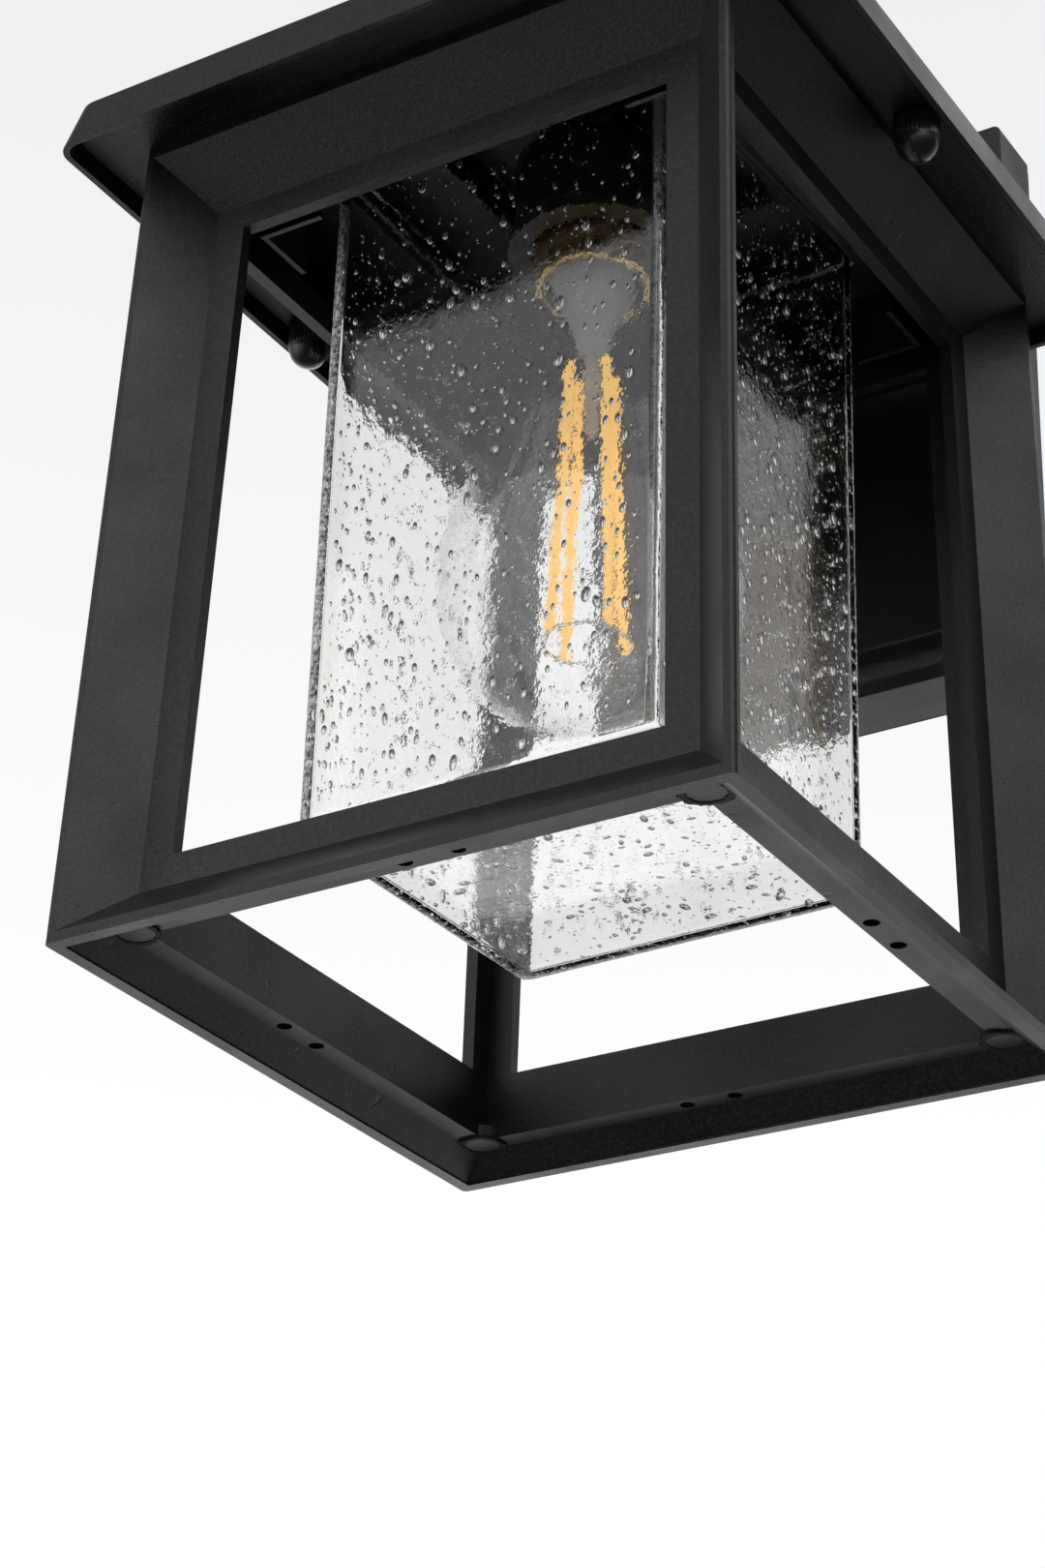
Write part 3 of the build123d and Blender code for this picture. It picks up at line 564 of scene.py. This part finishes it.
def skin(rings, field, amplitude, fade_top, flip, start):
    """Vertices and faces of one skin, pushed along its normals by the wave field."""
    data = np.concatenate(rings)
    points, normals = data[:, :3].copy(), data[:, 3:]
    push = wavy(points, field, amplitude)
    push *= np.clip((fade_top - points[:, 2]) / 0.01, 0.0, 1.0)
    points += normals * push[:, None]
    n = len(rings[0])
    faces = []
    for r in range(len(rings) - 1):
        a, b = start + r * n, start + (r + 1) * n
        for i in range(n):
            j = (i + 1) % n
            quad = (a + i, b + i, b + j, a + j)
            faces.append(quad[::-1] if flip else quad)
    last = start + (len(rings) - 1) * n
    cap = tuple(last + i for i in range(n))
    faces.append(cap if flip else cap[::-1])
    return points, faces


ICO_CACHE = {}


def ico(level):
    """Unit ball as vertices and faces."""
    if level not in ICO_CACHE:
        bm = bmesh.new()
        bmesh.ops.create_icosphere(bm, subdivisions=level, radius=1.0)
        verts = np.array([v.co[:] for v in bm.verts])
        faces = [tuple(v.index for v in f.verts) for f in bm.faces]
        bm.free()
        ICO_CACHE[level] = (verts, faces)
    return ICO_CACHE[level]


def bubble_size(rng):
    """Half length of one bubble: many small ones, a few long ones."""
    share = rng.random()
    if share < 0.50:
        return rng.uniform(0.00020, 0.00045)
    if share < 0.90:
        return rng.uniform(0.00045, 0.00100)
    return rng.uniform(0.00100, 0.0018)


def bubble_list(rng, count):
    """Random bubbles in walls and floor, none touching: centre, half sizes, wall and tilt."""
    found = []
    middle = (GLASS_HALF + GLASS_INSIDE) / 2
    placed = {side: [] for side in (0, 1, 2, 3, None)}
    while len(found) < count:
        long_half = bubble_size(rng)
        wide_half = long_half * rng.uniform(0.45, 0.7)
        thin_half = min(wide_half * 0.9, 0.0009)
        play = 0.00098 - thin_half
        side = None if rng.random() < FLOOR_SHARE else rng.choices(range(4), WALL_SHARES)[0]
        across = rng.uniform(-BUBBLE_REACH, BUBBLE_REACH)
        if side is None:
            up = rng.uniform(-BUBBLE_REACH, BUBBLE_REACH)
            centre = (across, up, GLASS_BOTTOM + GLASS_FLOOR / 2 + rng.uniform(-play, play))
            tilt = rng.uniform(0, math.pi)
        else:
            up = rng.uniform(GLASS_BOTTOM + 0.006, FLANGE_LOW - 0.006)
            centre = (middle + rng.uniform(-play, play), across, up)
            tilt = rng.gauss(0, 0.12)
        near = 0.8 * long_half
        if any(math.hypot(across - x, up - z) < near + other for x, z, other in placed[side]):
            continue
        placed[side].append((across, up, near))
        found.append((centre, long_half, wide_half, thin_half, side, tilt))
    return found


def add_bubbles(verts, faces, count):
    """Bubbles as closed hollows in the glass: their faces look inwards."""
    rng = random.Random(41)
    total = sum(len(v) for v in verts)
    for centre, long_half, wide_half, thin, side, tilt in bubble_list(rng, count):
        ball, ball_faces = ico(3 if long_half > 0.00075 else 2)
        if side is None:
            local = ball * np.array([long_half, wide_half, thin])
            placed = np.c_[(*turned(local[:, 0], local[:, 1], tilt), local[:, 2])] + np.array(centre)
        else:
            local = ball * np.array([thin, wide_half, long_half])
            y, z = turned(local[:, 1], local[:, 2], tilt)
            plan = turned(local[:, 0] + centre[0], y + centre[1], side * math.pi / 2)
            placed = np.c_[(*plan, z + centre[2])]
        verts.append(placed)
        faces.extend(tuple(total + i for i in reversed(f)) for f in ball_faces)
        total += len(placed)


def painted_sheen_marks(points):
    """Painted reflection along the corners and the low edge of the outer skin, weaker at the front right
    corner: white that stands in for the brightness glass edges show by refraction.
    """
    x, y, z = points.T
    corner = np.minimum(np.abs(x), np.abs(y)) > GLASS_HALF - GLASS_CORNER
    rim = np.maximum(np.abs(x), np.abs(y)) > GLASS_HALF - 0.0016
    low_edge = (z < GLASS_BOTTOM + 0.0015) & rim
    painted_sheen = np.where(corner | low_edge, CORNER_SHEEN, 0.0) * (z < SHEEN_TOP)
    painted_sheen[(x > 0) & (y < 0) & corner] *= SHEEN_FRONT_RIGHT
    return painted_sheen


def make_glass():
    """Seeded glass box: two wavy skins, a flange at the mouth, and thousands of bubbles."""
    outer = shell_rings(GLASS_HALF, GLASS_CORNER, GLASS_BOTTOM, FLANGE_LOW, EDGE_OUTSIDE, False)
    floor_inside = GLASS_BOTTOM + GLASS_FLOOR
    inner = shell_rings(GLASS_INSIDE, GLASS_CORNER_INSIDE, floor_inside, GLASS_TOP, EDGE_INSIDE, True)
    outer_waves = waves(3, WAVE_COUNT, WAVE_SHORTEST, WAVE_LONGEST)
    inner_waves = waves(8, WAVE_COUNT, WAVE_SHORTEST, WAVE_LONGEST)
    outer_points, outer_faces = skin(outer, outer_waves, WAVE_OUTSIDE, WAVE_TOP, False, 0)
    mouth = len(outer_points)
    inner_points, inner_faces = skin(inner, inner_waves, WAVE_INSIDE, WAVE_TOP, True, mouth)
    n = len(outer[0])
    flange = outline(FLANGE_HALF, GLASS_CORNER)
    lower = np.c_[flange[:, :2], np.full(n, FLANGE_LOW)]
    upper = np.c_[flange[:, :2], np.full(n, GLASS_TOP)]
    a = mouth + len(inner_points)
    b = a + n
    verts = [outer_points, inner_points, lower, upper]
    faces = outer_faces + inner_faces
    for i in range(n):
        j = (i + 1) % n
        faces.append((i, j, a + j, a + i))
        faces.append((a + i, a + j, b + j, b + i))
        faces.append((b + i, b + j, mouth + j, mouth + i))
    add_bubbles(verts, faces, BUBBLES)
    points = np.concatenate(verts)
    # share of painted reflection per vertex, on the outer skin only
    painted_sheen = np.zeros(len(points), np.float32)
    painted_sheen[:mouth] = painted_sheen_marks(outer_points)
    x, y = turned(points[:, 0], points[:, 1], GLASS_TURN)
    points = np.c_[x, y + AXIS_Y, points[:, 2]]
    mesh = bpy.data.meshes.new("seeded_glass_box")
    mesh.from_pydata(points.tolist(), [], faces)
    mesh.update()
    mesh.attributes.new("painted_sheen", "FLOAT", "POINT").data.foreach_set("value", painted_sheen)
    mesh.materials.append(SLOTS["seeded_glass"])
    mesh.shade_smooth()
    glass = bpy.data.objects.new("seeded_glass_box", mesh)
    bpy.context.collection.objects.link(glass)
    edges = glass.modifiers.new("mouth", "EDGE_SPLIT")
    edges.split_angle = math.radians(50)
    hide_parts("glass_box")
    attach(glass, "cage")


make_glass()


# Lamp and nuts
def revolve(name, profile, centre, slot, body, node, steps=72, knurl=None, sharp=40.0):
    """Solid of revolution from a half profile of (radius, height); knurl waves the marked radii."""
    verts, rings = [], []
    for radius, height in profile:
        if radius < 1e-7:
            rings.append([len(verts)])
            verts.append((centre[0], centre[1], height))
            continue
        ring = []
        for i in range(steps):
            a = 2 * math.pi * i / steps
            r = radius
            if knurl and radius >= knurl[0]:
                r -= knurl[1] * (i % 2)
            ring.append(len(verts))
            verts.append((centre[0] + r * math.cos(a), centre[1] + r * math.sin(a), height))
        rings.append(ring)
    faces = []
    for low, high in zip(rings, rings[1:] + rings[:1]):
        if len(low) == 1 and len(high) == 1:
            continue
        for i in range(steps):
            j = (i + 1) % steps
            if len(low) == 1:
                faces.append((low[0], high[j], high[i]))
            elif len(high) == 1:
                faces.append((low[i], low[j], high[0]))
            else:
                faces.append((low[i], low[j], high[j], high[i]))
    mesh = bpy.data.meshes.new(name)
    mesh.from_pydata(verts, [], faces)
    mesh.update()
    mesh.materials.append(SLOTS[slot])
    mesh.shade_smooth()
    piece = bpy.data.objects.new(name, mesh)
    bpy.context.collection.objects.link(piece)
    edges = piece.modifiers.new("edges", "EDGE_SPLIT")
    edges.split_angle = math.radians(sharp)
    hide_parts(node)
    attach(piece, body)
    return piece


BULB_RADIUS = 0.032
BULB_CENTRE = -0.093
NECK_RADIUS = 0.0118
CAP_RADIUS = 0.0131
CAP_LOW = -0.016
CAP_HIGH = 0.012
CAP_COLLAR = 0.008
THREAD_HEIGHT = 0.0188
NECK_TOP = -0.004
BULB_WALL = 0.0003


def bulb_profile(inset, steps=24):
    """Half outline of the lamp's glass, tip first: a ball that draws in to the neck."""
    belly, neck = BULB_RADIUS - inset, NECK_RADIUS - inset
    points = []
    for i in range(steps + 1):
        a = math.pi / 2 * (i / steps - 1)
        points.append((belly * math.cos(a), BULB_CENTRE + belly * math.sin(a)))
    reach = math.hypot(belly - neck, CAP_LOW - BULB_CENTRE)
    for i in range(1, steps + 1):
        t = i / steps
        rise = t * t * (3 - 2 * t)
        radius = belly + (neck - belly) * rise
        height = BULB_CENTRE + (CAP_LOW - BULB_CENTRE) * rise
        height += reach * (1.1 * t * (1 - t) ** 2 - 1.6 * t * t * (1 - t))
        points.append((radius, height))
    points[0] = (0.0, points[0][1])
    return points + [(neck, NECK_TOP)]


def make_lamp():
    """Smooth glass, cap and foot of the filament lamp."""
    centre = (0.0, AXIS_Y)
    glass = bulb_profile(0.0) + bulb_profile(BULB_WALL)[::-1]
    revolve("lamp_glass_bulb", glass, centre, "lamp_glass", "bulb", "bulb_envelope", 96)
    cap = [
        (NECK_RADIUS + 0.0001, CAP_LOW),
        (CAP_RADIUS - 0.0002, CAP_LOW),
        (CAP_RADIUS, CAP_LOW + 0.0003),
        (CAP_RADIUS, CAP_LOW + CAP_COLLAR),
    ]
    turns, fine = 5, 8
    for i in range(turns * fine):
        share = (i + 1) / (turns * fine)
        dip = 0.5 - 0.5 * math.cos(2 * math.pi * i / fine)
        cap.append((CAP_RADIUS - 0.0002 - 0.0009 * dip, CAP_LOW + CAP_COLLAR + share * THREAD_HEIGHT))
    cap += [
        (CAP_RADIUS - 0.0022, CAP_HIGH),
        (CAP_RADIUS - 0.0045, CAP_HIGH),
        (CAP_RADIUS - 0.0045, CAP_HIGH - 0.001),
        (NECK_RADIUS + 0.0001, CAP_HIGH - 0.003),
    ]
    revolve("lamp_cap", cap, centre, "lamp_brass", "bulb", "bulb_cap", 72)
    foot = [
        (0.0, -0.0545),
        (0.0009, -0.0541),
        (0.0015, -0.053),
        (0.0015, -0.0360),
        (0.0030, -0.0335),
        (0.0042, -0.0290),
        (0.0070, -0.0215),
        (0.0093, -0.0160),
        (0.0107, -0.0060),
        (0.0107, -0.0042),
        (0.0, -0.0042),
    ]
    revolve("lamp_foot", foot, centre, "lamp_glass_foot", "bulb", "bulb_stem", 64)


FILAMENT_RADIUS = 0.0011
FILAMENT_TURN = math.radians(62.0)
FILAMENT_TOP_REACH = 0.0055
FILAMENT_LOW_REACH = 0.0090
LEAD_RADIUS = 0.00035


def rod(verts, faces, low, high, marks, steps=20):
    """Round rod between two points; marks are (distance from the low end, radius)."""
    axis = (high - low).normalized()
    side = axis.cross(Vector((0.3, 0.1, 1.0))).normalized()
    front = axis.cross(side)
    first = len(verts)
    for at, radius in marks:
        for i in range(steps):
            t = 2 * math.pi * i / steps
            verts.append(low + axis * at + radius * (math.cos(t) * side + math.sin(t) * front))
    for r in range(len(marks) - 1):
        for i in range(steps):
            j = (i + 1) % steps
            p, q = first + r * steps, first + (r + 1) * steps
            faces.append((p + i, p + j, q + j, q + i))
    last = first + (len(marks) - 1) * steps
    faces.append(tuple(first + i for i in reversed(range(steps))))
    faces.append(tuple(last + i for i in range(steps)))


def smooth_piece(name, verts, faces, slot, body, node):
    """Smooth mesh object in place of a CAD node."""
    mesh = bpy.data.meshes.new(name)
    mesh.from_pydata([v[:] for v in verts], [], faces)
    mesh.update()
    mesh.materials.append(SLOTS[slot])
    mesh.shade_smooth()
    piece = bpy.data.objects.new(name, mesh)
    bpy.context.collection.objects.link(piece)
    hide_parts(node)
    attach(piece, body)
    return piece


def make_filaments():
    """Four phosphor sticks with rounded ends that lean out downwards, and their wires."""
    low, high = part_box("bulb_filaments")
    lead_low, lead_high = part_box("bulb_leads")
    sticks, leads = ([], []), ([], [])
    for k in range(4):
        a = FILAMENT_TURN + k * math.pi / 2
        across = Vector((math.cos(a), math.sin(a), 0.0))
        top = Vector((0.0, AXIS_Y, high[2])) + FILAMENT_TOP_REACH * across
        bottom = Vector((0.0, AXIS_Y, low[2])) + FILAMENT_LOW_REACH * across
        length = (top - bottom).length
        tip = [(0.0, 0.2), (0.0003, 0.7), (0.0008, 1.0)]
        shape = tip + [(length - at, share) for at, share in reversed(tip)]
        rod(*sticks, bottom, top, [(at, share * FILAMENT_RADIUS) for at, share in shape])
        root = Vector((0.0, AXIS_Y, lead_high[2] - LEAD_RADIUS)) + 0.0019 * across
        rod(*leads, top, root, [(0.0, LEAD_RADIUS), ((root - top).length, LEAD_RADIUS)], 10)
    level = lead_low[2] + LEAD_RADIUS
    for k in range(24):
        ends = []
        for t in (2 * math.pi * k / 24, 2 * math.pi * (k + 1) / 24):
            across = FILAMENT_LOW_REACH * Vector((math.cos(t), math.sin(t), 0.0))
            ends.append(Vector((0.0, AXIS_Y, level)) + across)
        rod(*leads, *ends, [(0.0, LEAD_RADIUS), ((ends[1] - ends[0]).length, LEAD_RADIUS)], 8)
    smooth_piece("lamp_filaments", *sticks, "filament_amber", "bulb", "bulb_filaments")
    smooth_piece("lamp_leads", *leads, "lead_wire", "bulb", "bulb_leads")


KNURL_STEPS = 64
KNURL_DEPTH = 0.0004


def make_nut(side):
    """Knurled nut with a smooth domed end."""
    node = f"thumb_nut_{side}"
    low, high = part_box(node)
    stud_low, stud_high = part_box("cage_studs")
    middle = (low[0] + high[0]) / 2
    radius = (high[0] - low[0]) / 2
    dome = radius - 0.00035
    grip_low = low[2] + dome
    bore = (stud_high[1] - stud_low[1]) / 2 + 0.0003
    top = high[2]
    profile = [(0.0, low[2])]
    for i in range(1, 17):
        a = math.pi / 2 * i / 16
        profile.append((dome * math.sin(a), grip_low - dome * math.cos(a)))
    profile += [(radius, grip_low + 0.0004), (radius, top - 0.0004), (dome - 0.0002, top)]
    profile += [(bore, top), (bore, grip_low), (0.0, grip_low)]
    knurl = (radius - 1e-6, KNURL_DEPTH)
    centre = (middle, AXIS_Y)
    revolve(node + "_smooth", profile, centre, "black_steel", node, node, KNURL_STEPS, knurl, 30.0)


LEDGE = -0.1830
PAD_PLACE = 0.0626
PAD_LOW = LEDGE - 0.0004
PAD_RADIUS = 0.00475
RING_LOW = -0.00016


def make_pad_rings():
    """Ragged dark ring, darker than the coat, round each of the four ejector pads under the cage."""
    mat, tree = new_material("pad_dark_ring")
    bsdf = add(tree, "ShaderNodeBsdfPrincipled", {"Roughness": 0.75})
    tex = noise(tree, 1800.0, 3.0, 0.7)
    shade = ramp(tree, tex.outputs["Fac"], [(0.35, 0.0015), (0.7, 0.008)])
    link(tree, shade.outputs["Color"], bsdf.inputs["Base Color"])
    relief = bump(tree, tex.outputs["Fac"], 0.0002, 1.0)
    link(tree, relief.outputs["Normal"], bsdf.inputs["Normal"])
    finish_surface(mat, tree, bsdf.outputs["BSDF"])
    rng = random.Random(7)
    verts, faces = [], []
    steps = 64
    for sx, sy in ((-1, -1), (1, -1), (1, 1), (-1, 1)):
        first = len(verts)
        wander = 0.0
        for i in range(steps):
            a = 2 * math.pi * i / steps
            wander = 0.6 * wander + rng.uniform(-0.00035, 0.00035)
            inner = PAD_RADIUS - 0.0008 - 0.5 * abs(wander)
            outer = PAD_RADIUS + 0.00035 + wander
            section = [(inner, -0.00002), (inner, RING_LOW), (outer, RING_LOW), (outer, 0.0006)]
            for radius, level in section:
                x = sx * PAD_PLACE + radius * math.cos(a)
                y = sy * PAD_PLACE + radius * math.sin(a)
                verts.append(Vector((x, y + AXIS_Y, PAD_LOW + level)))
        for i in range(steps):
            here = first + 4 * i
            there = first + 4 * ((i + 1) % steps)
            for k in range(4):
                after = (k + 1) % 4
                faces.append((here + k, there + k, there + after, here + after))
    mesh = bpy.data.meshes.new("pad_dark_rings")
    mesh.from_pydata([v[:] for v in verts], [], faces)
    mesh.update()
    mesh.materials.append(mat)
    piece = bpy.data.objects.new("pad_dark_rings", mesh)
    bpy.context.collection.objects.link(piece)
    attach(piece, "cage")


make_pad_rings()
make_lamp()
make_filaments()
make_nut("left")
make_nut("right")
soften(nodes["cage"], 0.00035)
for name in ("roof", "wall_plate", "arm", "arm_end_cap"):
    soften(nodes[name], 0.0004)

bpy.context.scene.view_settings.view_transform = "Standard"
